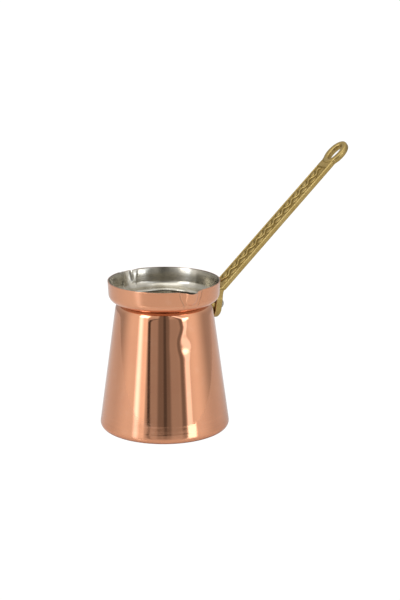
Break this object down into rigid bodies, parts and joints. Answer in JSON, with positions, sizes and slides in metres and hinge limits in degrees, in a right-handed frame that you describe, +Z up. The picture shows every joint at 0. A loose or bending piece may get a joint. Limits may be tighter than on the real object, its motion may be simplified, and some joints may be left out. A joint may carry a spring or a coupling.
{
  "type": "coffee pot",
  "caption": "Spun copper stovetop coffee pot, tin lined, with a flared collar, pressed pouring spouts and a long cast brass handle ending in a hanging eye.",
  "frame": {"origin": "centre of the flat base, on the pot's axis", "axes": "+Z up along the pot's axis, +X towards the handle, spouts near +Y and -Y"},
  "size_m": [0.1823, 0.0812, 0.1691],
  "materials": {
    "copper": "polished copper with fine spinning lines",
    "tin": "wiped hot tin, satin",
    "cast_brass": "cast and tumbled, satin",
    "rivet_steel": "hammered, dull"
  },
  "bodies": {
    "root": {"copper_body": "copper", "tin_lining": "tin", "handle": "cast_brass", "rivet_left": "rivet_steel", "rivet_right": "rivet_steel"}
  },
  "joints": []
}
